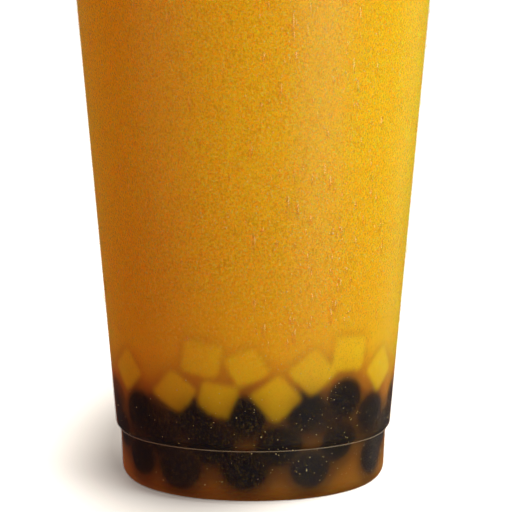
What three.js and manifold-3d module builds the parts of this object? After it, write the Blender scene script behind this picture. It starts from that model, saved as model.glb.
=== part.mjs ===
// Bubble tea in a clear plastic cup: a tapered cup with a stepped foot and a rolled rim, a bed of
// tapioca pearls on its floor, jelly cubes lying on the pearls, and cloudy fruit tea above them.
// Millimetres, +Z up. The origin is the centre of the ring that the cup stands on.
import * as THREE from "three";
import { mergeVertices } from "three/addons/utils/BufferGeometryUtils.js";
import Module from "manifold-3d";

// Cup: outside sizes, and one wall thickness all over
const CUP_HEIGHT = 158;
const RIM_DIAMETER = 95;
const WALL = 0.8;
const FOOT_RADIUS = 30.6; // just above the rounded base edge
const FOOT_TAPER = 0.048; // radius gained per millimetre up the foot
const BASE_EDGE = 4; // radius of the rounded base edge
const STANDING_RING = 2.6; // width of the flat ring that touches the table
const FLOOR_RISE = 2.2; // how far the floor panel is pushed up inside the ring
const SHOULDER_HEIGHT = 14.15; // where the straight wall starts, above the step
const SHOULDER_RADIUS = 32.07; // of the wall at that height
const SHOULDER_ROUND = 2; // radius of the step's rounded corner
const BODY_TAPER = 0.0868; // radius gained per millimetre up the body
const TURNS = 56; // flat facets round the cup and the tea
const CORE_TURNS = 16; // and round a packed core, which no one sees
const ARC_STEP = 25; // most degrees that one facet of a rounded edge turns through

// Contents
const CLEARANCE = 0.3; // between neighbouring pieces
const SEAT_STEP = 0.25; // spacing of the wall's points that a piece is seated against
const TEA_LEVEL = 145;
const PEARL_DIAMETER = 8.4;
const PEARL_SPREAD = 0.3; // how much a pearl's radius varies either way
const PEARL_DETAIL = 1; // subdivisions of the icosahedron
const PEARL_BED = 21; // top of the packed core behind the pearls that show
const CUBE_SIDE = 7.4;
const CUBE_SPREAD = 0.4; // how much a cube's side varies either way
const CUBE_SEAT = 0.62; // from a cube's centre to the wall, as a share of its side
const CUBE_TILT = 18; // degrees that a cube leans out of true, either way
const CUBE_ROLL = 45; // degrees that a cube at the back is rolled, either way
const JELLY_BED = 32; // top of the packed core behind the cubes that show
const CORE_SETBACK = 5.2; // from the cup's inside to a packed core

// Pearls against the wall, as [azimuth in degrees, height]. Azimuth 0 faces the front, along -Y,
// and turns towards +X. Three staggered courses: on the floor, at the step and above it.
const FRONT_PEARLS = [
  [-56, 8.2], [-33, 6.9], [-3.6, 7.4], [25, 7.2], [62, 7.8],
  [-40, 13.6], [-18, 13.2], [10.6, 13], [38, 12.9], [72, 13.6], [-72, 13.4],
  [-52, 19], [-25, 19.3], [-3, 20.6], [21, 21.2], [39.3, 23], [56, 18.6],
];
// Jelly cubes against the wall, as [azimuth, height, roll about the line to the axis in degrees]
const FRONT_CUBES = [
  [-33, 25, 38], [-14, 24.2, 14], [9.2, 24, 50], [24, 29.6, -41], [60.4, 28, 50], [-60, 28, 50],
  [-20, 33.2, 10], [-2.2, 31.6, 65], [40.5, 33.4, 5],
];
const FRONT_REACH = 75; // azimuth, either way, that those two lists cover
// The courses behind them: [pieces in a full turn, height, rise and fall]
const PEARL_COURSES = [[13, 7.3, 0.5], [13, 13.3, 0.4], [14, 20, 1.6]];
const CUBE_COURSES = [[17, 25.6, 1.2], [17, 33.2, 0.8]];
const OUT_OF_LINE = 0.15; // how far a piece strays along its course, as a share of the spacing

const wasm = await Module();
wasm.setup();

const radians = THREE.MathUtils.degToRad;

// A repeatable number between -1 and 1, for the piece of this number and for one purpose
function scatter(piece, purpose) {
  const wave = Math.sin(piece * 12.9898 + purpose * 78.233) * 43758.5453;
  return 2 * (wave - Math.floor(wave)) - 1;
}

// Points on a round stretch of an outline, from one angle to another, both in degrees
function arc(radius, height, size, from, to) {
  const steps = Math.ceil(Math.abs(to - from) / ARC_STEP);
  return Array.from({ length: steps + 1 }, (_, i) => {
    const turn = radians(from + ((to - from) * i) / steps);
    return new THREE.Vector2(radius + size * Math.cos(turn), height + size * Math.sin(turn));
  });
}

function bodyRadius(height) {
  return SHOULDER_RADIUS + BODY_TAPER * (height - SHOULDER_HEIGHT);
}

// The cup's outline from the middle of its base up to the top of the shoulder, set in by `inset`:
// 0 gives the outside, WALL the inside, and WALL + CLEARANCE the room for the contents.
function baseOutline(inset) {
  const edgeRadius = FOOT_RADIUS - BASE_EDGE;
  const panelRadius = edgeRadius - STANDING_RING - FLOOR_RISE;
  const shoulderRadius = SHOULDER_RADIUS - SHOULDER_ROUND;
  const shoulderSize = SHOULDER_ROUND - inset;
  const footTop = FOOT_RADIUS + FOOT_TAPER * (SHOULDER_HEIGHT - SHOULDER_ROUND - BASE_EDGE) - inset;
  const crease = -THREE.MathUtils.radToDeg(Math.acos((footTop - shoulderRadius) / shoulderSize));
  return [
    new THREE.Vector2(0, FLOOR_RISE + inset),
    new THREE.Vector2(panelRadius + inset / 2, FLOOR_RISE + inset),
    new THREE.Vector2(edgeRadius - STANDING_RING + inset / 2, inset),
    ...arc(edgeRadius, BASE_EDGE, BASE_EDGE - inset, -90, 0),
    ...arc(shoulderRadius, SHOULDER_HEIGHT, shoulderSize, crease, 0),
  ];
}

// A solid of revolution about +Z from an outline that starts and ends on the axis
function lathe(outline, turns = TURNS) {
  return new THREE.LatheGeometry(outline, turns).rotateX(Math.PI / 2);
}

// A closed geometry as a solid that can be joined and cut, and back
function solidOf(geometry) {
  const bare = new THREE.BufferGeometry();
  bare.setAttribute("position", geometry.getAttribute("position"));
  bare.setIndex(geometry.getIndex());
  const merged = mergeVertices(bare, 1e-3);
  return new wasm.Manifold(
    new wasm.Mesh({
      numProp: 3,
      vertProperties: merged.getAttribute("position").array,
      triVerts: new Uint32Array(merged.getIndex().array),
    }),
  );
}

function geometryOf(solid) {
  const mesh = solid.getMesh();
  const geometry = new THREE.BufferGeometry();
  geometry.setAttribute("position", new THREE.BufferAttribute(mesh.vertProperties, 3));
  geometry.setIndex(new THREE.BufferAttribute(mesh.triVerts, 1));
  geometry.computeVertexNormals();
  return geometry;
}

function joined(solids) {
  return solids.reduce((whole, next) => whole.add(next));
}

// The largest body of a cut solid: loose scraps are dropped
function mainBody(solid) {
  return solid.decompose().reduce((best, next) => (next.volume() > best.volume() ? next : best));
}

function cupGeometry() {
  const insideTop = bodyRadius(CUP_HEIGHT) - WALL;
  const bead = (RIM_DIAMETER / 2 - insideTop) / 2;
  const beadRadius = RIM_DIAMETER / 2 - bead;
  const beadHeight = CUP_HEIGHT - bead;
  const overhang = Math.acos((beadRadius - bodyRadius(beadHeight)) / bead);
  const underBead = THREE.MathUtils.radToDeg(overhang) - 180;
  return lathe([
    ...baseOutline(0),
    ...arc(beadRadius, beadHeight, bead, underBead, 90),
    ...arc(beadRadius, beadHeight, bead, 90, 180).slice(1),
    ...baseOutline(WALL).reverse(),
  ]);
}

// Where a ball of this radius sits against the inside of the cup: its distance from the axis
function seatAgainstWall(height, radius) {
  const reach = radius + CLEARANCE;
  const inside = new THREE.Path([
    ...baseOutline(WALL).slice(3),
    new THREE.Vector2(bodyRadius(CUP_HEIGHT) - WALL, CUP_HEIGHT),
  ]);
  const wall = inside.getSpacedPoints(Math.round(inside.getLength() / SEAT_STEP));
  const near = wall.filter((point) => Math.abs(point.y - height) < reach);
  return Math.min(...near.map((point) => point.x - Math.sqrt(reach ** 2 - (point.y - height) ** 2)));
}

// Azimuth and height of every piece that lies against the wall: the front ones as listed, then
// courses of evenly spaced ones, a little out of line, round the sides and back
function wallPlaces(front, courses) {
  const places = front.map((place) => [...place]);
  courses.forEach(([count, height, unevenness], course) => {
    const gap = 360 / count;
    for (let i = 0; i < count; i += 1) {
      const piece = 100 * (course + 1) + i;
      const azimuth = (i + course / 2) * gap + OUT_OF_LINE * gap * scatter(piece, 1);
      const fromFront = Math.abs(THREE.MathUtils.euclideanModulo(azimuth + 180, 360) - 180);
      if (fromFront > FRONT_REACH + gap / 2) {
        places.push([azimuth, height + unevenness * scatter(piece, 2), CUBE_ROLL * scatter(piece, 3)]);
      }
    }
  });
  return places;
}

// A point at a distance from the axis, in the direction of an azimuth
function placed(radius, azimuth, height) {
  const turn = radians(azimuth);
  return new THREE.Vector3(radius * Math.sin(turn), -radius * Math.cos(turn), height);
}

// A packed core of a layer, out of sight behind the pieces at the wall
function coreSolid(bottom, top, grow) {
  const low = bodyRadius(bottom) - WALL - CORE_SETBACK + grow;
  const high = bodyRadius(top) - WALL - CORE_SETBACK + grow;
  const outline = [
    new THREE.Vector2(0, bottom - grow),
    new THREE.Vector2(low, bottom - grow),
    new THREE.Vector2(high, top + grow),
    new THREE.Vector2(0, top + grow),
  ];
  return solidOf(lathe(outline, CORE_TURNS));
}

// The bed of pearls: round pearls of uneven size fused onto a packed core. `grow` swells them all.
function pearlSolid(grow) {
  const pearls = wallPlaces(FRONT_PEARLS, PEARL_COURSES).map(([azimuth, height], piece) => {
    const size = PEARL_DIAMETER / 2 + PEARL_SPREAD * scatter(piece, 4);
    const centre = placed(seatAgainstWall(height, size), azimuth, height);
    return solidOf(
      new THREE.IcosahedronGeometry(size + grow, PEARL_DETAIL)
        .rotateX(Math.PI * scatter(piece, 5))
        .rotateZ(Math.PI * scatter(piece, 6))
        .translate(centre.x, centre.y, centre.z),
    );
  });
  const floor = FLOOR_RISE + WALL + CLEARANCE;
  return joined([coreSolid(floor + grow, PEARL_BED, grow), ...pearls]);
}

// The jelly: cubes of uneven size, each rolled its own way, fused onto a packed core
function jellySolid(grow) {
  const cubes = wallPlaces(FRONT_CUBES, CUBE_COURSES).map(([azimuth, height, roll], piece) => {
    const side = CUBE_SIDE + CUBE_SPREAD * scatter(piece, 7);
    const centre = placed(seatAgainstWall(height, CUBE_SEAT * side), azimuth, height);
    const edge = side + 2 * grow;
    return solidOf(
      new THREE.BoxGeometry(edge, edge, edge)
        .rotateX(radians(CUBE_TILT * scatter(piece, 8)))
        .rotateY(radians(roll))
        .rotateZ(radians(azimuth + CUBE_TILT * scatter(piece, 9)))
        .translate(centre.x, centre.y, centre.z),
    );
  });
  return joined([coreSolid(PEARL_BED, JELLY_BED, grow), ...cubes]);
}

// The room inside the cup for its contents, from its floor up to the tea's level
function roomSolid() {
  const inset = WALL + CLEARANCE;
  return solidOf(
    lathe([
      ...baseOutline(inset),
      new THREE.Vector2(bodyRadius(TEA_LEVEL) - inset, TEA_LEVEL),
      new THREE.Vector2(0, TEA_LEVEL),
    ]),
  );
}

// A flat slab wider than the cup, to cut a layer off with
function slabSolid(bottom, top) {
  const height = top - bottom;
  return solidOf(
    new THREE.BoxGeometry(RIM_DIAMETER, RIM_DIAMETER, height).translate(0, 0, bottom + height / 2),
  );
}

function piece(name, geometry, colour, finish) {
  const material = new THREE.MeshStandardMaterial({ color: colour, metalness: 0, ...finish });
  const mesh = new THREE.Mesh(geometry, material);
  mesh.name = name;
  return mesh;
}

const room = roomSolid();
const pearls = mainBody(pearlSolid(0));
// Cubes flatten where they are pressed against the wall or a pearl.
const jelly = mainBody(jellySolid(0).intersect(room).subtract(pearlSolid(CLEARANCE)));
// The tea fills the cup above the jelly's core, cut round the cubes that stand up into it.
const underTea = slabSolid(0, JELLY_BED + CLEARANCE);
const tea = mainBody(room.subtract(underTea).subtract(jellySolid(CLEARANCE)));

const bubbleTea = new THREE.Group();
bubbleTea.add(
  piece("cup", cupGeometry(), "#f4f6f5", { roughness: 0.15, transparent: true, opacity: 0.25 }),
  piece("tapioca_pearls", geometryOf(pearls), "#1d1613", { roughness: 0.25 }),
  piece("jelly_cubes", geometryOf(jelly), "#d9a92b", { roughness: 0.3 }),
  piece("tea", geometryOf(tea), "#d98a1c", { roughness: 0.2 }),
);

export default bubbleTea;
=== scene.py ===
# %% [markdown]
# # A bubble tea in its clear cup
# A measured model of the drink gives every size: a thin plastic cup, a bed of tapioca pearls, jelly cubes
# on the pearls, and cloudy fruit tea above them. This lesson dresses that model. Each of its four solids is
# replaced by a finer piece that keeps the solid's form, and the tea is then let in among the pearls and the
# cubes.

# %% Load the measured model
import math

import bmesh
import bpy
import numpy as np
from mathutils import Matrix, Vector, noise
from mathutils.bvhtree import BVHTree


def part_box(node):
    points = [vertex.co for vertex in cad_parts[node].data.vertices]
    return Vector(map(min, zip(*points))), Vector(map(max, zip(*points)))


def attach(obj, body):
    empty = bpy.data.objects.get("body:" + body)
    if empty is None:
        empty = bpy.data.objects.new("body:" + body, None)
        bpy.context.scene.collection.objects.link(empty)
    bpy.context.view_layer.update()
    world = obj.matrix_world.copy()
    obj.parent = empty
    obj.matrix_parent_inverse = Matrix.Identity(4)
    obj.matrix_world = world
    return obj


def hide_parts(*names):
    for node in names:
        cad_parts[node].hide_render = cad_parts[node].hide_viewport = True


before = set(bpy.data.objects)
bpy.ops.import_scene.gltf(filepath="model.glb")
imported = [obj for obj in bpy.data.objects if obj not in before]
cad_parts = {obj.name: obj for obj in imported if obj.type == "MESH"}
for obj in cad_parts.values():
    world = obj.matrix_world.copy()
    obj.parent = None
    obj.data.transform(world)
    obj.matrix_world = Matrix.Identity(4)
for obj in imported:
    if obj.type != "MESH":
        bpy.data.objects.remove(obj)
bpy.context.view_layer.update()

MM = 0.001
scene = bpy.context.scene
print("solids:", sorted(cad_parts))

# %% [markdown]
# ## The camera
# The cup was photographed from a little above, with a long lens, so that its sides look nearly straight.
# The camera could be placed by eye, but its height, distance and lens were worked out from the cup's
# outline instead: the width of the wall at several heights and the bend of the base. A slightly sideways
# aim puts the cup where it stood.

# %% Place the camera
CAMERA_DISTANCE = 700 * MM
CAMERA_ELEVATION = math.radians(8.1966)
CAMERA_LENS = 212.45  # on a sensor 36 wide
AIM = Vector((0.65 * MM, 0, 52.12 * MM))

camera_data = bpy.data.cameras.new("camera")
camera_data.lens = CAMERA_LENS
camera_data.sensor_width = 36
camera_data.clip_start = 0.01
camera_data.clip_end = 50
camera = bpy.data.objects.new("camera", camera_data)
towards_camera = Vector((0, -math.cos(CAMERA_ELEVATION), math.sin(CAMERA_ELEVATION)))
camera.location = AIM + CAMERA_DISTANCE * towards_camera
camera.rotation_euler = (math.pi / 2 - CAMERA_ELEVATION, 0, 0)
scene.collection.objects.link(camera)
scene.camera = camera
print("camera at", [round(x, 3) for x in camera.location])

# %% [markdown]
# ## Turned pieces
# Everything round in this drink, the cup, the tea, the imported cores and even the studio's floor, is an
# outline that turns about the cup's axis. Blender's Screw modifier could turn it. A short function that
# builds the rings itself is used here, because the tea needs to know afterwards which height each ring has.

# %% A function that turns an outline
def mesh_piece(name, vertices, faces):
    """A smooth mesh object from lists of points and faces."""
    mesh = bpy.data.meshes.new(name)
    mesh.from_pydata(vertices, [], faces)
    mesh.validate()
    mesh.shade_smooth()
    piece = bpy.data.objects.new(name, mesh)
    scene.collection.objects.link(piece)
    return piece


def turned(outline, turns):
    """Points and faces of an outline of (radius, height) turned about Z. Points on the axis close it."""
    angles = np.arange(turns) * 2 * math.pi / turns
    points = []
    rings = []
    for radius, height in outline:
        on_axis = radius < 1e-7
        ring_angles = angles[:1] if on_axis else angles
        first = len(points)
        rings.append(np.full(turns, first) if on_axis else first + np.arange(turns))
        points += [(radius * math.sin(a), -radius * math.cos(a), height) for a in ring_angles]
    faces = []
    for low, high in zip(rings, rings[1:]):
        corners = zip(low, np.roll(low, -1), np.roll(high, -1), high)
        for quad in corners:
            face = list(dict.fromkeys(int(c) for c in quad))
            if len(face) > 2:
                faces.append(face)
    return points, faces


def arc(radius, height, size, start, end, steps):
    """Points on a round stretch of an outline, from one angle to another, in degrees."""
    angles = np.radians(np.linspace(start, end, steps + 1))
    return [(radius + size * math.cos(a), height + size * math.sin(a)) for a in angles]


# %% [markdown]
# ## The studio
# The drink stands on a white table that runs up into a white backdrop. A large soft light stands in front
# to the right and another overhead, with a weak warm one at the left and two behind. A very white table
# would also shine back into the tea and bleach it, so the table is seen by the camera and takes the drink's
# shadow, but sends no light back. It glows by itself, except in a soft patch round the foot and to its
# left, where a painted shadow is laid, so that only that patch is in shade.

# %% White table and backdrop
TABLE_RADIUS = 3.0
BACKDROP_CORNER = 1.0
BACKDROP_HEIGHT = 4.0
TABLE_GLOW_NEAR = 0.19
TABLE_GLOW_FAR = 1.2
PAINTED_SHADOW_STRETCH = (1, 0.3, 1)
PAINTED_SHADOW_OFFSET = (14 * MM, -14 * MM, 0)
PAINTED_SHADOW_INSIDE = 21 * MM
PAINTED_SHADOW_OUTSIDE = 43 * MM

table_outline = [(0, 0), (0.2, 0), (0.8, 0)]
table_outline += arc(TABLE_RADIUS, BACKDROP_CORNER, BACKDROP_CORNER, -90, 0, 12)
table_outline.append((TABLE_RADIUS + BACKDROP_CORNER, BACKDROP_HEIGHT))
points, faces = turned(table_outline, 64)
table = mesh_piece("table", points, [face[::-1] for face in faces])
table.visible_diffuse = False
table.visible_glossy = False
table.visible_shadow = False


def new_material(name):
    """An empty material, its node tree and its output node."""
    material = bpy.data.materials.new(name)
    material.use_nodes = True
    tree = material.node_tree
    tree.nodes.clear()
    return material, tree, tree.nodes.new("ShaderNodeOutputMaterial")


def table_white():
    """Self-lit white; a soft patch of weaker, warm glow by the drink is a painted shadow, fading to pure
    white.
    """
    material, tree, output = new_material("table_white")
    surface = tree.nodes.new("ShaderNodeBsdfPrincipled")
    surface.inputs["Base Color"].default_value = (0.5, 0.48, 0.44, 1)
    surface.inputs["Roughness"].default_value = 1
    surface.inputs["Specular IOR Level"].default_value = 0
    # The glow's warm colour tints the painted shadow; further off the glow is strong enough to show white.
    surface.inputs["Emission Color"].default_value = (1, 0.94, 0.86, 1)
    place = tree.nodes.new("ShaderNodeTexCoord")
    stretch = tree.nodes.new("ShaderNodeVectorMath")
    stretch.operation = "MULTIPLY_ADD"
    stretch.inputs[1].default_value = PAINTED_SHADOW_STRETCH
    stretch.inputs[2].default_value = PAINTED_SHADOW_OFFSET
    distance = tree.nodes.new("ShaderNodeVectorMath")
    distance.operation = "LENGTH"
    # Painted shadow: the glow is weakest in a stretched patch by the foot and to its left, full further off.
    glow = tree.nodes.new("ShaderNodeMapRange")
    glow.inputs["From Min"].default_value = PAINTED_SHADOW_INSIDE
    glow.inputs["From Max"].default_value = PAINTED_SHADOW_OUTSIDE
    glow.inputs["To Min"].default_value = TABLE_GLOW_NEAR
    glow.inputs["To Max"].default_value = TABLE_GLOW_FAR
    tree.links.new(place.outputs["Object"], stretch.inputs[0])
    tree.links.new(stretch.outputs["Vector"], distance.inputs[0])
    tree.links.new(distance.outputs["Value"], glow.inputs["Value"])
    tree.links.new(glow.outputs["Result"], surface.inputs["Emission Strength"])
    tree.links.new(surface.outputs["BSDF"], output.inputs["Surface"])
    return material


table.data.materials.append(table_white())
print("table radius", TABLE_RADIUS)

# %% Lights
MIDDLE = Vector((0, 0, 70 * MM))
# Name, azimuth and elevation in degrees, distance, width and height in metres, watts and colour
LIGHTS = [
    ("key_light", 47, 12, 1.0, 0.7, 1.0, 7.9, (1, 1, 1)),
    ("top_light", 65, 70, 1.1, 0.9, 0.9, 11.0, (1, 1, 1)),
    ("warm_fill", -62, 8, 1.1, 0.9, 0.9, 4.1, (1, 0.38, 0.3)),
    ("back_light", -155, 22, 1.2, 1.0, 1.0, 4.0, (1, 0.9, 0.8)),
    ("edge_light", 125, 8, 1.0, 0.5, 1.0, 1.4, (1, 0.85, 0.7)),
]


def softbox(name, azimuth, elevation, distance, width, height, watts, colour):
    """A large rectangular light that faces the drink. Azimuth 0 is in front, and turns to the right."""
    data = bpy.data.lights.new(name, "AREA")
    data.shape = "RECTANGLE"
    data.size = width
    data.size_y = height
    data.energy = watts
    data.color = colour
    light = bpy.data.objects.new(name, data)
    around = math.radians(azimuth)
    up = math.radians(elevation)
    flat = math.cos(up)
    direction = Vector((flat * math.sin(around), -flat * math.cos(around), math.sin(up)))
    light.location = MIDDLE + distance * direction
    light.rotation_euler = direction.to_track_quat("Z", "Y").to_euler()
    scene.collection.objects.link(light)
    return light


for light in LIGHTS:
    softbox(*light)

world = bpy.data.worlds.new("studio_air")
scene.world = world
world.use_nodes = True
air = world.node_tree.nodes["Background"]
air.inputs["Color"].default_value = (1, 1, 1, 1)
air.inputs["Strength"].default_value = 0.10

# %% How the picture is developed
scene.view_settings.view_transform = "Standard"
scene.view_settings.look = "None"
scene.cycles.use_denoising = True
scene.cycles.max_bounces = 16
scene.cycles.transparent_max_bounces = 24
scene.cycles.caustics_reflective = False
scene.cycles.caustics_refractive = False
print("view transform:", scene.view_settings.view_transform)

# %% [markdown]
# ## The cup
# The real cup is blown from thin clear plastic: a straight tapered wall, a step above a narrower foot, a
# rounded base edge and a rolled rim. It is one outline, up the outside and back down the inside, turned
# about the axis. In the step's crease the plastic is thicker and catches the light as a fine pale line, so a
# hair-thin ring is laid there, whose pale cream haze is a painted highlight.

# %% The cup's outline
CUP_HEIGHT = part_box("cup")[1].z
RIM_RADIUS = 47.5 * MM
WALL = 0.8 * MM
FOOT_RADIUS = 30.6 * MM
FOOT_TAPER = 0.048
BASE_EDGE = 4 * MM
STANDING_RING = 2.6 * MM
FLOOR_RISE = 2.2 * MM
SHOULDER_HEIGHT = 14.15 * MM
SHOULDER_RADIUS = 32.07 * MM
SHOULDER_ROUND = 2 * MM
BODY_TAPER = 0.0868
CREASE_BEAD = 0.12 * MM
CUP_TURNS = 192
WALL_STEP = 6 * MM
UNDER_RIM = 0.5 * MM
SHARP_ABOVE = math.radians(40)


def body_radius(height):
    """Outside radius of the straight wall."""
    return SHOULDER_RADIUS + BODY_TAPER * (height - SHOULDER_HEIGHT)


def base_outline(inset):
    """From the middle of the base up to the top of the shoulder, set in by a distance."""
    edge = FOOT_RADIUS - BASE_EDGE
    panel = edge - STANDING_RING - FLOOR_RISE
    shoulder = SHOULDER_RADIUS - SHOULDER_ROUND
    size = SHOULDER_ROUND - inset
    foot_top = FOOT_RADIUS + FOOT_TAPER * (SHOULDER_HEIGHT - SHOULDER_ROUND - BASE_EDGE) - inset
    crease = -math.degrees(math.acos((foot_top - shoulder) / size))
    outline = [(0, FLOOR_RISE + inset), (panel + inset / 2, FLOOR_RISE + inset)]
    outline.append((edge - STANDING_RING + inset / 2, inset))
    outline += arc(edge, BASE_EDGE, BASE_EDGE - inset, -90, 0, 12)
    outline += arc(shoulder, SHOULDER_HEIGHT, size, crease, 0, 8)
    return outline


def wall_heights(top, step):
    """Heights of the straight wall's rings, from just above the shoulder up to a top."""
    count = max(1, round((top - SHOULDER_HEIGHT) / step))
    return np.linspace(SHOULDER_HEIGHT, top, count + 1)[1:]


inside_top = body_radius(CUP_HEIGHT) - WALL
bead = (RIM_RADIUS - inside_top) / 2
bead_radius = RIM_RADIUS - bead
bead_height = CUP_HEIGHT - bead
under_bead = math.degrees(math.acos((bead_radius - body_radius(bead_height)) / bead)) - 180
bead_arc = arc(bead_radius, bead_height, bead, under_bead, 180, 28)
cup_wall = [(body_radius(z), z) for z in wall_heights(bead_arc[0][1] - UNDER_RIM, WALL_STEP)]
cup_inside = [(body_radius(z) - WALL, z) for z in wall_heights(bead_height - UNDER_RIM, WALL_STEP)]
cup_outline = base_outline(0) + cup_wall + bead_arc + cup_inside[::-1] + base_outline(WALL)[::-1]
points, faces = turned(cup_outline, CUP_TURNS)
cup = mesh_piece("cup_shell", points, faces)
cup.data.set_sharp_from_angle(angle=SHARP_ABOVE)
print("cup:", len(cup.data.polygons), "faces, rim radius", RIM_RADIUS)

# %% The crease's fine line
crease_radius, crease_height = min(base_outline(0)[16:], key=lambda point: point[1])
crease_outline = arc(crease_radius, crease_height, CREASE_BEAD, -180, 180, 10)
points, faces = turned(crease_outline, CUP_TURNS)
crease_line = mesh_piece("crease_line", points, faces)
print("crease line at height", round(crease_height / MM, 2), "mm")

# %% [markdown]
# ## Clear plastic, cold and misted
# Clear plastic could be a refracting glass shader, but then light reaches the tea only by bouncing, which
# is slow and grainy. The wall is thin and the tea touches it, so nothing is bent much: a see-through shader
# with a little gloss on top, stronger at grazing angles, looks the same. Beside the cold tea the wall is
# misted: a fine noise gives it pale specks, fewer low down. Above the tea it is dry, clear and a little
# grey, so that the rim shows on white.

# %% The cup's plastic
GLOSS_GRAZING = 0.3
GRAIN_SCALE = 2300
GRAIN_LOW = 0.53
GRAIN_HIGH = 0.72
GRAIN_DARK = 0.34
GRAIN_CLEAR = 0.54
GRAIN_FADE = (26 * MM, 56 * MM)
GRAIN_LEAST = 0.12


def ramp_between(tree, value, low, high, least, most):
    """A value's rise from one level to another, held at both ends."""
    amount = tree.nodes.new("ShaderNodeMapRange")
    amount.inputs["From Min"].default_value = low
    amount.inputs["From Max"].default_value = high
    amount.inputs["To Min"].default_value = least
    amount.inputs["To Max"].default_value = most
    tree.links.new(value, amount.inputs["Value"])
    return amount.outputs["Result"]


def grain_between(tree, low, high, at_low, at_high):
    """A fine procedural grain that goes from one value to another, weaker low down."""
    place = tree.nodes.new("ShaderNodeTexCoord")
    height = tree.nodes.new("ShaderNodeSeparateXYZ")
    grain = tree.nodes.new("ShaderNodeTexNoise")
    grain.inputs["Scale"].default_value = GRAIN_SCALE
    grain.inputs["Detail"].default_value = 2
    both = tree.nodes.new("ShaderNodeMath")
    both.operation = "MULTIPLY"
    tree.links.new(place.outputs["Object"], grain.inputs["Vector"])
    tree.links.new(place.outputs["Object"], height.inputs["Vector"])
    specks = ramp_between(tree, grain.outputs["Fac"], low, high, at_low, at_high)
    fading = ramp_between(tree, height.outputs["Z"], *GRAIN_FADE, GRAIN_LEAST, 1)
    tree.links.new(specks, both.inputs[0])
    tree.links.new(fading, both.inputs[1])
    return both.outputs["Value"]


def clear_plastic(name, colour, haze, misted, gloss_ahead, roughness):
    """See-through with a share of haze, even or in a grain of mist, and gloss that grows at grazing angles."""
    material, tree, output = new_material(name)
    through = tree.nodes.new("ShaderNodeBsdfTransparent")
    milk = tree.nodes.new("ShaderNodeBsdfDiffuse")
    milk.inputs["Color"].default_value = colour + (1,)
    gloss = tree.nodes.new("ShaderNodeBsdfGlossy")
    gloss.inputs["Roughness"].default_value = roughness
    facing = tree.nodes.new("ShaderNodeLayerWeight")
    grazing = tree.nodes.new("ShaderNodeMath")
    grazing.operation = "POWER"
    grazing.inputs[1].default_value = 5
    edge = tree.nodes.new("ShaderNodeMapRange")
    edge.inputs["To Min"].default_value = gloss_ahead
    edge.inputs["To Max"].default_value = GLOSS_GRAZING
    clear = tree.nodes.new("ShaderNodeMixShader")
    shine = tree.nodes.new("ShaderNodeMixShader")
    clear.inputs["Fac"].default_value = haze
    if misted:
        specks = grain_between(tree, GRAIN_LOW, GRAIN_HIGH, 0, haze)
        tree.links.new(specks, clear.inputs["Fac"])
    tree.links.new(through.outputs["BSDF"], clear.inputs[1])
    tree.links.new(milk.outputs["BSDF"], clear.inputs[2])
    tree.links.new(facing.outputs["Facing"], grazing.inputs[0])
    tree.links.new(grazing.outputs["Value"], edge.inputs["Value"])
    tree.links.new(edge.outputs["Result"], shine.inputs["Fac"])
    tree.links.new(clear.outputs["Shader"], shine.inputs[1])
    tree.links.new(gloss.outputs["BSDF"], shine.inputs[2])
    tree.links.new(shine.outputs["Shader"], output.inputs["Surface"])
    return material


TEA_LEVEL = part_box("tea")[1].z
misted_wall = clear_plastic("misted_plastic", (1.0, 0.68, 0.08), 0.6, True, 0.014, 0.28)
dry_wall = clear_plastic("clear_plastic", (0.82, 0.86, 0.88), 0.1, False, 0.08, 0.08)
# The crease ring's pale cream haze is a painted highlight: the light that the thicker plastic catches.
crease_with_painted_highlight = clear_plastic("thick_plastic_painted_highlight", (1.0, 0.75, 0.4), 0.1, False, 0.01, 0.6)
cup.data.materials.append(misted_wall)
cup.data.materials.append(dry_wall)
for face in cup.data.polygons:
    face.material_index = int(face.center.z > TEA_LEVEL)
crease_line.data.materials.append(crease_with_painted_highlight)
print("plastic on", cup.name, "and", crease_line.name)

# %% [markdown]
# ## Where the pearls and cubes lie
# The pearls and cubes that show lie against the wall. Those in front are placed one by one, as they lay in
# the cup, and round the sides and back they go on in loose courses. A sine-based scatter gives each piece
# its own repeatable size and turn, the same as in the measured model, so that every piece lands on its
# solid.

# %% Places against the wall
CLEARANCE = 0.3 * MM
PEARL_RADIUS = 4.2 * MM
PEARL_SPREAD = 0.3 * MM
PEARL_BED = 21 * MM
CUBE_SIDE = 7.4 * MM
CUBE_SPREAD = 0.4 * MM
CUBE_SEAT = 0.62
CUBE_TILT = math.radians(18)
CUBE_ROLL = 45
JELLY_BED = 32 * MM
CORE_SETBACK = 5.2 * MM
OUT_OF_LINE = 0.15
FRONT_REACH = 75

# Azimuth in degrees from the front towards the right, and height in millimetres
FRONT_PEARLS = [
    (-56, 8.2), (-33, 6.9), (-3.6, 7.4), (25, 7.2), (62, 7.8),
    (-40, 13.6), (-18, 13.2), (10.6, 13), (38, 12.9), (72, 13.6), (-72, 13.4),
    (-52, 19), (-25, 19.3), (-3, 20.6), (21, 21.2), (39.3, 23), (56, 18.6),
]
# Azimuth, height and roll about the line to the cup's axis
FRONT_CUBES = [
    (-33, 25, 38), (-14, 24.2, 14), (9.2, 24, 50), (24, 29.6, -41), (60.4, 28, 50), (-60, 28, 50),
    (-20, 33.2, 10), (-2.2, 31.6, 65), (40.5, 33.4, 5),
]
# Pieces in a full turn, height, and rise and fall, of the courses behind
PEARL_COURSES = [(13, 7.3, 0.5), (13, 13.3, 0.4), (14, 20, 1.6)]
CUBE_COURSES = [(17, 25.6, 1.2), (17, 33.2, 0.8)]


def scatter(piece, purpose):
    """A repeatable number between -1 and 1 for one piece and one purpose."""
    wave = math.sin(piece * 12.9898 + purpose * 78.233) * 43758.5453
    return 2 * (wave - math.floor(wave)) - 1


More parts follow.
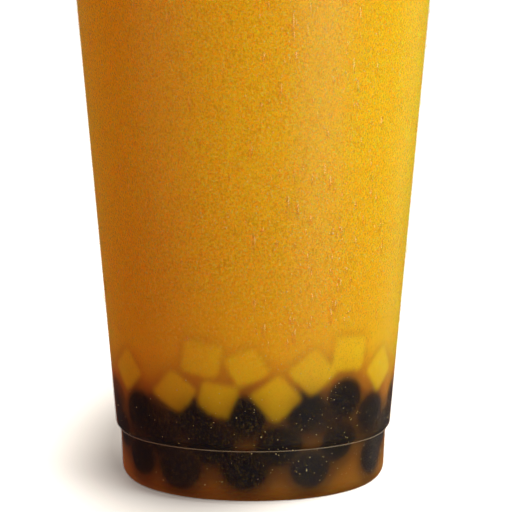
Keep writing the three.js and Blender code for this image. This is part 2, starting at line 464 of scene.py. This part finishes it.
def wall_places(front, courses):
    """The front places as listed, then evenly spaced ones, a little out of line, round the sides and back."""
    places = [list(place) for place in front]
    for course, (count, height, unevenness) in enumerate(courses):
        gap = 360 / count
        for i in range(count):
            piece = 100 * (course + 1) + i
            azimuth = (i + course / 2) * gap + OUT_OF_LINE * gap * scatter(piece, 1)
            from_front = abs((azimuth + 180) % 360 - 180)
            if from_front > FRONT_REACH + gap / 2:
                rise = unevenness * scatter(piece, 2)
                places.append([azimuth, height + rise, CUBE_ROLL * scatter(piece, 3)])
    return places


def wall_points():
    """Closely spaced points up the cup's inside, for seating pieces against."""
    outline = base_outline(WALL)[3:] + [(body_radius(CUP_HEIGHT) - WALL, CUP_HEIGHT)]
    outline = np.array(outline)
    along = np.concatenate([[0], np.cumsum(np.linalg.norm(np.diff(outline, axis=0), axis=1))])
    steps = np.arange(0, along[-1], 0.25 * MM)
    return np.stack([np.interp(steps, along, outline[:, k]) for k in (0, 1)], axis=1)


INSIDE = wall_points()


def seat_against_wall(height, radius):
    """Distance from the axis at which a ball touches the cup's inside."""
    reach = radius + CLEARANCE
    near = INSIDE[np.abs(INSIDE[:, 1] - height) < reach]
    return float(np.min(near[:, 0] - np.sqrt(reach**2 - (near[:, 1] - height) ** 2)))


def placed(radius, azimuth, height):
    """A point at a distance from the axis, in the direction of an azimuth in degrees."""
    turn = math.radians(azimuth)
    return np.array([radius * math.sin(turn), -radius * math.cos(turn), height])


pearl_places = wall_places(FRONT_PEARLS, PEARL_COURSES)
cube_places = wall_places(FRONT_CUBES, CUBE_COURSES)
print(len(pearl_places), "pearls and", len(cube_places), "cubes against the wall")

# %% [markdown]
# ## Tapioca pearls
# Cooked pearls are nearly black, wet and not quite round: each one sags a little its own way. A fine ball
# is bent by a slow noise for each pearl, and all of them are joined into one mesh. A few more are put at
# random into the gaps behind the first row, and behind those lies a plain packed core.

# %% Pearls
PEARL_UNEVEN = 0.035
BEHIND_REACH = 6 * MM
BEHIND_LOW = 12.5 * MM
BEHIND_TRIES = 3000
CORE_TURNS = 96
CLOSENESS = 0.88


def ball(subdivisions):
    """Points and faces of a unit ball of even triangles."""
    work = bmesh.new()
    bmesh.ops.create_icosphere(work, subdivisions=subdivisions, radius=1)
    points = np.array([v.co for v in work.verts])
    faces = [[v.index for v in f.verts] for f in work.faces]
    work.free()
    return points, faces


def joined(parts):
    """One list of points and one of faces from several."""
    points = []
    faces = []
    for part_points, part_faces in parts:
        first = len(points)
        points += [tuple(p) for p in part_points]
        faces += [[int(c) + first for c in face] for face in part_faces]
    return points, faces


BALL_POINTS, BALL_FACES = ball(3)


def pearl(piece, centre, size):
    """One uneven pearl."""
    offset = Vector((7.3 * piece, 3.1 * piece, 1.7 * piece))
    bulge = np.array([noise.noise(Vector(p) * 1.1 + offset) for p in BALL_POINTS])
    return centre + BALL_POINTS * (size * (1 + PEARL_UNEVEN * bulge))[:, None], BALL_FACES


def wall_pearls():
    """Centre and size of every pearl at the wall, on its solid."""
    found = []
    for piece, (azimuth, height, *_) in enumerate(pearl_places):
        size = PEARL_RADIUS + PEARL_SPREAD * scatter(piece, 4)
        seat = seat_against_wall(height * MM, size)
        found.append((placed(seat, azimuth, height * MM), size))
    return found


def pearls_behind(front, tries):
    """Pearls in the gaps behind the first row: places are tried at random and kept where there is room."""
    draw = np.random.default_rng(5)
    found = list(front)
    for _ in range(tries):
        size = PEARL_RADIUS + PEARL_SPREAD * draw.uniform(-1, 1)
        height = draw.uniform(BEHIND_LOW, PEARL_BED)
        reach = seat_against_wall(height, size) - draw.uniform(0, BEHIND_REACH)
        centre = placed(reach, draw.uniform(-180, 180), height)
        if all(np.linalg.norm(centre - other) > CLOSENESS * (size + radius) for other, radius in found):
            found.append((centre, size))
    return found


def pearl_parts(found):
    """The meshes of all pearls."""
    return [pearl(piece, centre, size) for piece, (centre, size) in enumerate(found)]


def core(bottom, top):
    """Outline of a packed core behind the pieces at the wall."""
    low = body_radius(bottom) - WALL - CORE_SETBACK
    high = body_radius(top) - WALL - CORE_SETBACK
    return [(0, bottom), (low, bottom), (high, top), (0, top)]


all_pearls = pearls_behind(wall_pearls(), BEHIND_TRIES)
pearls = mesh_piece("pearls", *joined(pearl_parts(all_pearls)))
pearl_core = mesh_piece("pearl_core", *turned(core(FLOOR_RISE + WALL + CLEARANCE, PEARL_BED), CORE_TURNS))
print("pearls:", len(all_pearls), "with", len(pearls.data.polygons), "faces")

# %% The pearls' finish
def pearl_skin(name):
    """Nearly black brown, cloudier in places, and wet."""
    material, tree, output = new_material(name)
    surface = tree.nodes.new("ShaderNodeBsdfPrincipled")
    place = tree.nodes.new("ShaderNodeTexCoord")
    cloud = tree.nodes.new("ShaderNodeTexNoise")
    cloud.inputs["Scale"].default_value = 220
    cloud.inputs["Detail"].default_value = 3
    shade = tree.nodes.new("ShaderNodeValToRGB")
    shade.color_ramp.elements[0].position = 0.35
    shade.color_ramp.elements[0].color = (0.008, 0.006, 0.006, 1)
    shade.color_ramp.elements[1].position = 0.75
    shade.color_ramp.elements[1].color = (0.022, 0.014, 0.011, 1)
    surface.inputs["Roughness"].default_value = 0.35
    surface.inputs["Specular IOR Level"].default_value = 0.03
    tree.links.new(place.outputs["Object"], cloud.inputs["Vector"])
    tree.links.new(cloud.outputs["Fac"], shade.inputs["Fac"])
    tree.links.new(shade.outputs["Color"], surface.inputs["Base Color"])
    tree.links.new(surface.outputs["BSDF"], output.inputs["Surface"])
    return material


pearl_black = pearl_skin("pearl_black")
pearls.data.materials.append(pearl_black)
pearl_core.data.materials.append(pearl_black)

# %% [markdown]
# ## Jelly cubes
# The jelly is cut into cubes with soft edges, each a little out of true. A cube's grid of points is rounded
# by moving every point near an edge onto a small ball, which needs no modifier and keeps the cubes one
# light mesh. Where a cube would press through the cup it is flattened against the wall, as jelly is.

# %% Cubes
CUBE_GRID = 8
CUBE_EDGE = 1.0 * MM
CUBE_SKEW = 0.06


def cube_grid(steps):
    """Points and faces of a cube from -1 to 1 with a grid on each side."""
    work = bmesh.new()
    bmesh.ops.create_cube(work, size=2)
    bmesh.ops.subdivide_edges(work, edges=work.edges[:], cuts=steps - 1, use_grid_fill=True)
    work.verts.index_update()
    points = np.array([v.co for v in work.verts])
    faces = [[v.index for v in f.verts] for f in work.faces]
    work.free()
    return points, faces


GRID_POINTS, GRID_FACES = cube_grid(CUBE_GRID)


def turn_matrix(axis, angle):
    """A rotation about one axis as an array."""
    c = math.cos(angle)
    s = math.sin(angle)
    rows = {
        "X": [[1, 0, 0], [0, c, -s], [0, s, c]],
        "Y": [[c, 0, s], [0, 1, 0], [-s, 0, c]],
        "Z": [[c, -s, 0], [s, c, 0], [0, 0, 1]],
    }
    return np.array(rows[axis])


def cube(piece, azimuth, height, roll):
    """One soft-edged cube, turned its own way and pressed flat where it meets the wall."""
    side = CUBE_SIDE + CUBE_SPREAD * scatter(piece, 7)
    seat = seat_against_wall(height, CUBE_SEAT * side)
    half = side / 2
    skew = 1 + CUBE_SKEW * np.array([scatter(piece, k) for k in (10, 11, 12)])
    inner = np.clip(GRID_POINTS * half, -(half - CUBE_EDGE), half - CUBE_EDGE)
    out = GRID_POINTS * half - inner
    points = (inner + CUBE_EDGE * out / np.linalg.norm(out, axis=1)[:, None]) * skew
    points = points @ turn_matrix("X", CUBE_TILT * scatter(piece, 8)).T
    points = points @ turn_matrix("Y", math.radians(roll)).T
    points = points @ turn_matrix("Z", math.radians(azimuth) + CUBE_TILT * scatter(piece, 9)).T
    points = points + placed(seat, azimuth, height)
    reach = np.hypot(points[:, 0], points[:, 1])
    limit = np.interp(points[:, 2], INSIDE[:, 1], INSIDE[:, 0]) - CLEARANCE
    points[:, :2] *= np.minimum(1, limit / reach)[:, None]
    return points, GRID_FACES


cube_parts = [cube(i, a, h * MM, r) for i, (a, h, r) in enumerate(cube_places)]
jelly = mesh_piece("jelly", *joined(cube_parts))
jelly_core = mesh_piece("jelly_core", *turned(core(PEARL_BED, JELLY_BED), CORE_TURNS))
print("jelly:", len(jelly.data.polygons), "faces")


# %% The jelly's finish
def jelly_yellow(name, colour):
    """Cloudy yellow that light soaks into."""
    material, tree, output = new_material(name)
    surface = tree.nodes.new("ShaderNodeBsdfPrincipled")
    place = tree.nodes.new("ShaderNodeTexCoord")
    cloud = tree.nodes.new("ShaderNodeTexNoise")
    cloud.inputs["Scale"].default_value = 160
    shade = tree.nodes.new("ShaderNodeMix")
    shade.data_type = "RGBA"
    shade.inputs["A"].default_value = tuple(0.9 * c for c in colour) + (1,)
    shade.inputs["B"].default_value = colour + (1,)
    surface.inputs["Roughness"].default_value = 0.4
    surface.inputs["Specular IOR Level"].default_value = 0.0
    surface.inputs["Subsurface Weight"].default_value = 1
    surface.inputs["Subsurface Radius"].default_value = (1.0, 0.6, 0.15)
    surface.inputs["Subsurface Scale"].default_value = 3 * MM
    tree.links.new(place.outputs["Object"], cloud.inputs["Vector"])
    tree.links.new(cloud.outputs["Fac"], shade.inputs["Factor"])
    tree.links.new(shade.outputs["Result"], surface.inputs["Base Color"])
    tree.links.new(surface.outputs["BSDF"], output.inputs["Surface"])
    return material


jelly_colour = jelly_yellow("jelly_yellow", (0.95, 0.62, 0.02))
jelly.data.materials.append(jelly_colour)
jelly_core.data.materials.append(jelly_colour)

# %% [markdown]
# ## The tea
# The tea fills the cup from its floor to its level. It is cloudy: a pearl or a cube shows only where it
# lies close to the wall, and fades as it curves away. A volume shader and a refracting cup would show that,
# slowly and with much grain. But a round cup full of drink is a lens, in which every point of the wall
# shows what lies straight behind it. So each point of the tea's skin looks inwards with a ray, and takes
# its colour from what the ray meets and how much tea lies in front of it. The colours are then blurred a
# little, as cloudy tea blurs what is in it, and shade is painted into the tea low down, near the pearls
# and in the gaps among the cubes, where little light gets in.

# %% The tea's body
TEA_TURNS = 480
INTO_WALL = 0.6 * MM
FINE_TOP = 46 * MM
FINE_STEP = 0.5 * MM
COARSE_STEP = 4 * MM
MENISCUS = 1.2 * MM

inset = WALL - INTO_WALL
floor_radius = base_outline(inset)[1][0]
floor_rings = [(floor_radius * k / 4, FLOOR_RISE + inset) for k in range(4)]
fine_wall = [(body_radius(z) - inset, z) for z in wall_heights(FINE_TOP, FINE_STEP)]
coarse_count = round((TEA_LEVEL - FINE_TOP) / COARSE_STEP)
coarse_heights = np.linspace(FINE_TOP, TEA_LEVEL, coarse_count + 1)[1:]
coarse_wall = [(body_radius(z) - inset, z) for z in coarse_heights]
top_radius = body_radius(TEA_LEVEL) - inset


def spaced(outline, step):
    """The same outline with points no further apart than a step."""
    dense = [outline[0]]
    for start, end in zip(outline, outline[1:]):
        count = max(1, math.ceil(math.dist(start, end) / step))
        for k in range(1, count + 1):
            share = k / count
            dense.append(tuple(a + (b - a) * share for a, b in zip(start, end)))
    return dense


meniscus_arc = arc(top_radius - MENISCUS, TEA_LEVEL + MENISCUS, MENISCUS, -8, -90, 6)
lower = floor_rings + spaced(base_outline(inset)[1:], FINE_STEP)
tea_top_rings = [(top_radius / 2, TEA_LEVEL), (0, TEA_LEVEL)]
tea_outline = lower + fine_wall + coarse_wall + meniscus_arc + tea_top_rings
tea = mesh_piece("tea_body", *turned(tea_outline, TEA_TURNS))
tea.visible_shadow = False
print("tea:", len(tea.data.polygons), "faces")

# %% What each point of the skin sees, and the painted shade
SIGHT = 12 * MM
LOOK_DOWN = 0.107
CONTACT = INTO_WALL + CLEARANCE
PEARL_FADE = 7.0 * MM
JELLY_FADE = 4.0 * MM
JELLY_EDGE = (0.22, 0.46)
EDGE_BLUR = 2
PAINTED_SHADE_BLUR = 60
GAP_PAINTED_SHADE = 0.22
GAP_BLUR = 20
PEARL_PAINTED_SHADE = 1.25
BED_PAINTED_SHADE = 0.4
BED = (7 * MM, 11 * MM, 18 * MM, 23 * MM, 35 * MM)
FLOOR_PAINTED_SHADE = 0.4
ABOVE_BED_PAINTED_SHADE = 0.22

skin_points = np.array([v.co for v in tea.data.vertices])[1:-1].reshape(-1, TEA_TURNS, 3)
skin_heights = skin_points[:, 0, 2]


def search_tree(piece):
    """A piece's triangles, to cast rays at."""
    mesh = piece.data
    return BVHTree.FromPolygons([v.co for v in mesh.vertices], [p.vertices for p in mesh.polygons])


def depths_behind(piece):
    """How far each point of the skin is from a piece straight behind it, at most the limit of sight."""
    tree = search_tree(piece)
    depths = np.full(skin_points.shape[:2], SIGHT)
    for ring in np.flatnonzero(skin_heights < FINE_TOP):
        for turn, point in enumerate(skin_points[ring]):
            inwards = Vector((-point[0], -point[1], -LOOK_DOWN * math.hypot(point[0], point[1])))
            hit = tree.ray_cast(Vector(point), inwards.normalized(), SIGHT)
            if hit[3] is not None:
                depths[ring, turn] = hit[3]
    return depths


def shown(depths, fade):
    """How clearly a piece shows through tea of a depth: 1 at the wall, 0 at the limit of sight."""
    limit = math.exp(-(SIGHT - CONTACT) / fade)
    return (np.exp(-np.maximum(depths - CONTACT, 0) / fade) - limit) / (1 - limit)


def blurred(values, times):
    """Each value averaged with its neighbours round the cup and up and down, over and over."""
    for _ in range(times):
        values = (np.roll(values, 1, axis=1) + 2 * values + np.roll(values, -1, axis=1)) / 4
        padded = np.concatenate([values[:1], values, values[-1:]])
        values = (padded[:-2] + 2 * values + padded[2:]) / 4
    return values


pearl_depths = depths_behind(pearls)
jelly_depths = depths_behind(jelly)
pearl_shows = shown(pearl_depths, PEARL_FADE) * (pearl_depths < jelly_depths)
jelly_shows = shown(jelly_depths, JELLY_FADE) * (jelly_depths < pearl_depths)
jelly_shows = np.interp(jelly_shows, JELLY_EDGE, (0, 1))
# Painted shade by height: strongest from the floor up through the pearl bed, fading out among the cubes.
bed = np.interp(skin_heights, BED, (FLOOR_PAINTED_SHADE, BED_PAINTED_SHADE, BED_PAINTED_SHADE, ABOVE_BED_PAINTED_SHADE, 0))
# Painted shade near the pearls, blurred wide round them, joined with the painted shade by height.
painted_shade = 1 - (1 - np.clip(PEARL_PAINTED_SHADE * blurred(pearl_shows, PAINTED_SHADE_BLUR), 0, 1)) * (1 - bed[:, None])
pearl_shows = blurred(pearl_shows, EDGE_BLUR)
# Painted shade in the tea's gaps among the cubes.
painted_shade_among_cubes = GAP_PAINTED_SHADE * blurred(jelly_shows, GAP_BLUR)
jelly_shows = blurred(jelly_shows, EDGE_BLUR)
print("gloom up to", painted_shade.max().round(2))

# %% The colours of the skin
# Darkness, from the pearls showing through and from painted shade, and the tea's colour at it
TEA_SHADES = [
    (0.0, (0.96, 0.56, 0.012)),
    (0.25, (0.5, 0.2, 0.012)),
    (0.5, (0.155, 0.07, 0.012)),
    (0.75, (0.035, 0.02, 0.011)),
    (1.0, (0.013, 0.012, 0.012)),
]
JELLY_SHADE = np.array((0.87, 0.51, 0.014))
JELLY_PAINTED_SHADE = 1.0
# The tea is darker, with less green, towards the bottom: not at all above 80 mm, fully below 35 mm.
LOWER_TINT = np.array((0.9, 0.78, 1.0))
LOWER_TINT_FROM = 80 * MM
LOWER_TINT_TO = 35 * MM

# Darkness joins the pearls' own black, seen through the tea, with the painted shade.
darkness = 1 - (1 - pearl_shows) * (1 - painted_shade) * (1 - painted_shade_among_cubes)
steps, shades = zip(*TEA_SHADES)
tea_colour = np.stack([np.interp(darkness, steps, channel) for channel in np.array(shades).T], axis=2)
lower_tint_share = np.clip((LOWER_TINT_FROM - skin_heights) / (LOWER_TINT_FROM - LOWER_TINT_TO), 0, 1)
tea_colour *= (1 + (LOWER_TINT - 1) * lower_tint_share[:, None])[:, None]
# The cubes take the same painted shade as the tea round them, never below a tenth of their colour.
jelly_colours = JELLY_SHADE * np.clip(1 - JELLY_PAINTED_SHADE * painted_shade, 0.1, 1)[:, :, None]
skin_colour = tea_colour + (jelly_colours - tea_colour) * jelly_shows[:, :, None]
ends = [skin_colour[:1, 0], skin_colour[-1:, 0]]
all_colours = np.concatenate([ends[0], skin_colour.reshape(-1, 3), ends[1]])
attribute = tea.data.attributes.new("skin", "FLOAT_COLOR", "POINT")
attribute.data.foreach_set("color", np.insert(all_colours, 3, 1, axis=1).astype(np.float32).ravel())
print("skin colours from", skin_colour.min(axis=(0, 1)).round(3), "to", skin_colour.max(axis=(0, 1)).round(3))


# %% The tea's finish
MIST_SHADE = (0.74, 0.66, 0.5, 1)
TOP_SHADE = (0.62, 0.27, 0.01, 1)
TOP_FACES_UP = 0.3


def cloudy_tea(name):
    """The skin's colours and painted shade, soaked with light, and a little deeper between the specks of mist.
    """
    material, tree, output = new_material(name)
    surface = tree.nodes.new("ShaderNodeBsdfPrincipled")
    skin = tree.nodes.new("ShaderNodeAttribute")
    skin.attribute_name = "skin"
    surface.inputs["Roughness"].default_value = 0.3
    surface.inputs["Specular IOR Level"].default_value = 0.0
    surface.inputs["Subsurface Weight"].default_value = 1
    surface.inputs["Subsurface Radius"].default_value = (1.0, 0.3, 0.05)
    surface.inputs["Subsurface Scale"].default_value = 30 * MM
    mottled = tree.nodes.new("ShaderNodeMix")
    mottled.data_type = "RGBA"
    mottled.blend_type = "MULTIPLY"
    mottled.inputs["B"].default_value = MIST_SHADE
    tree.links.new(grain_between(tree, GRAIN_DARK, GRAIN_CLEAR, 1, 0), mottled.inputs["Factor"])
    tree.links.new(skin.outputs["Color"], mottled.inputs["A"])
    tree.links.new(mottled.outputs["Result"], surface.inputs["Base Color"])
    tree.links.new(surface.outputs["BSDF"], output.inputs["Surface"])
    return material


def tea_top(name):
    """The open surface: the same tea, deeper in colour than at the wall, and a little glossy."""
    material, tree, output = new_material(name)
    surface = tree.nodes.new("ShaderNodeBsdfPrincipled")
    surface.inputs["Base Color"].default_value = TOP_SHADE
    surface.inputs["Roughness"].default_value = 0.12
    surface.inputs["Specular IOR Level"].default_value = 0.15
    tree.links.new(surface.outputs["BSDF"], output.inputs["Surface"])
    return material


tea.data.materials.append(cloudy_tea("cloudy_tea"))
tea.data.materials.append(tea_top("tea_top"))
for face in tea.data.polygons:
    face.material_index = int(face.normal.z > TOP_FACES_UP and face.center.z > TEA_LEVEL - MENISCUS)
print("tea's top:", sum(face.material_index for face in tea.data.polygons), "faces")

# %% [markdown]
# ## Mist on the cold cup
# Cold plastic gathers a mist of fine beads. They are too small to model round: a shallow five-sided dome is
# enough for a bead no wider than two hairs. A few beads have run together into longer drops of clear water.
# All are drawn from a seeded generator, so that every run gives the same mist.

# %% Fine beads
BEADS = 6000
BEAD_SIDES = 5
BEAD_RADIUS = 0.085 * MM
MIST_LOW = 4 * MM
MIST_EDGE = 40 * MM
MIST_HIGH = 152 * MM
LOW_SHARE = 0.07
FRONT_SHARE = 0.5
MIST_MIDDLE = (35, 32)
BEAD_SPREAD = 0.35
BEAD_RISE = 0.7
SUNK = 0.01 * MM

draw = np.random.default_rng(11)


def outside_radius(heights):
    """Outside radius of the cup at any height."""
    outline = np.array(base_outline(0)[3:] + [(body_radius(CUP_HEIGHT), CUP_HEIGHT)])
    return np.interp(heights, outline[:, 1], outline[:, 0])


def domes(azimuths, heights, widths, lengths, rises, sides):
    """Shallow domes on the cup's outside: one apex and a ring of corners each."""
    radius = outside_radius(heights) - SUNK
    out = np.stack([np.sin(azimuths), -np.cos(azimuths), np.full_like(azimuths, -BODY_TAPER)], axis=1)
    side = np.stack([np.cos(azimuths), np.sin(azimuths), np.zeros_like(azimuths)], axis=1)
    up = np.cross(side, -out)
    up *= np.sign(up[:, 2])[:, None]
    centres = np.stack([radius * np.sin(azimuths), -radius * np.cos(azimuths), heights], axis=1)
    angles = np.arange(sides) * 2 * math.pi / sides
    ring = centres[:, None] + widths[:, None, None] * np.cos(angles)[None, :, None] * side[:, None]
    ring = ring + lengths[:, None, None] * np.sin(angles)[None, :, None] * up[:, None]
    apex = centres + rises[:, None] * out
    points = np.concatenate([apex[:, None], ring], axis=1).reshape(-1, 3)
    first = np.arange(len(azimuths)) * (sides + 1)
    corner = 1 + np.arange(sides)
    following = 1 + (np.arange(sides) + 1) % sides
    triangles = np.stack(
        [
            np.repeat(first[:, None], sides, axis=1),
            first[:, None] + corner[None],
            first[:, None] + following[None],
        ],
        axis=2,
    ).reshape(-1, 3)
    return points, triangles


in_front = draw.random(BEADS) < FRONT_SHARE
azimuths = np.where(in_front, draw.normal(*MIST_MIDDLE, BEADS), draw.uniform(-180, 180, BEADS))
bead_azimuths = np.radians(azimuths)
low_down = draw.random(BEADS) < LOW_SHARE
bead_heights = np.where(low_down, MIST_LOW, MIST_EDGE) + draw.random(BEADS) * np.where(
    low_down, MIST_EDGE - MIST_LOW, MIST_HIGH - MIST_EDGE
)
bead_sizes = BEAD_RADIUS * np.exp(draw.normal(0, BEAD_SPREAD, BEADS))
bead_rises = BEAD_RISE * bead_sizes
points, triangles = domes(bead_azimuths, bead_heights, bead_sizes, bead_sizes, bead_rises, BEAD_SIDES)
mist = mesh_piece("mist", points.tolist(), triangles.tolist())
print("mist:", BEADS, "beads,", len(mist.data.polygons), "triangles")

# %% Drops that have begun to run
DROPS = 320
DROP_WIDTH = 0.3 * MM
DROP_STRETCH = (1.5, 5.5)
DROP_SIDES = 12
DROP_LOW = 36 * MM
DROP_MIDDLE = (25, 14)
DROP_SPREAD = 0.3
DROP_RISE = 0.8

running = draw.random(DROPS) < FRONT_SHARE
azimuths = np.where(running, draw.normal(*DROP_MIDDLE, DROPS), draw.uniform(-180, 180, DROPS))
drop_azimuths = np.radians(azimuths)
drop_heights = draw.uniform(DROP_LOW, MIST_HIGH, DROPS)
drop_widths = DROP_WIDTH * np.exp(draw.normal(0, DROP_SPREAD, DROPS))
drop_lengths = drop_widths * draw.uniform(*DROP_STRETCH, DROPS)
drop_rises = DROP_RISE * drop_widths
points, triangles = domes(drop_azimuths, drop_heights, drop_widths, drop_lengths, drop_rises, DROP_SIDES)
drops = mesh_piece("drops", points.tolist(), triangles.tolist())
print("drops:", DROPS)


# %% The mist's finish
def cold_mist(name, paleness):
    """Pale beads that let some of the tea's colour through."""
    material, tree, output = new_material(name)
    through = tree.nodes.new("ShaderNodeBsdfTransparent")
    pale = tree.nodes.new("ShaderNodeBsdfDiffuse")
    pale.inputs["Color"].default_value = (1.0, 0.78, 0.32, 1)
    bead = tree.nodes.new("ShaderNodeMixShader")
    bead.inputs["Fac"].default_value = paleness
    tree.links.new(through.outputs["BSDF"], bead.inputs[1])
    tree.links.new(pale.outputs["BSDF"], bead.inputs[2])
    tree.links.new(bead.outputs["Shader"], output.inputs["Surface"])
    return material


mist.data.materials.append(cold_mist("cold_mist", 0.5))


def water_drop(name):
    """Clear water: the tea behind it looks a little deeper, and the lights glint on it."""
    material, tree, output = new_material(name)
    through = tree.nodes.new("ShaderNodeBsdfTransparent")
    through.inputs["Color"].default_value = (0.96, 0.9, 0.78, 1)
    gloss = tree.nodes.new("ShaderNodeBsdfGlossy")
    gloss.inputs["Color"].default_value = (0.9, 0.9, 0.5, 1)
    gloss.inputs["Roughness"].default_value = 0.2
    drop = tree.nodes.new("ShaderNodeMixShader")
    drop.inputs["Fac"].default_value = 0.07
    tree.links.new(through.outputs["BSDF"], drop.inputs[1])
    tree.links.new(gloss.outputs["BSDF"], drop.inputs[2])
    tree.links.new(drop.outputs["Shader"], output.inputs["Surface"])
    return material


drops.data.materials.append(water_drop("water_drop"))

# %% [markdown]
# ## Putting it together
# Every piece rides on the drink's one body, and the four solids of the measured model are hidden.

# %% Ride, and hide the replaced solids
for piece, slot in (
    (cup, "clear_plastic"),
    (crease_line, "clear_plastic"),
    (mist, "clear_plastic"),
    (drops, "clear_plastic"),
    (pearls, "tapioca"),
    (pearl_core, "tapioca"),
    (jelly, "jelly"),
    (jelly_core, "jelly"),
    (tea, "tea"),
):
    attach(piece, "root")
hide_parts("cup")
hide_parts("tapioca_pearls")
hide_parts("jelly_cubes")
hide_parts("tea")
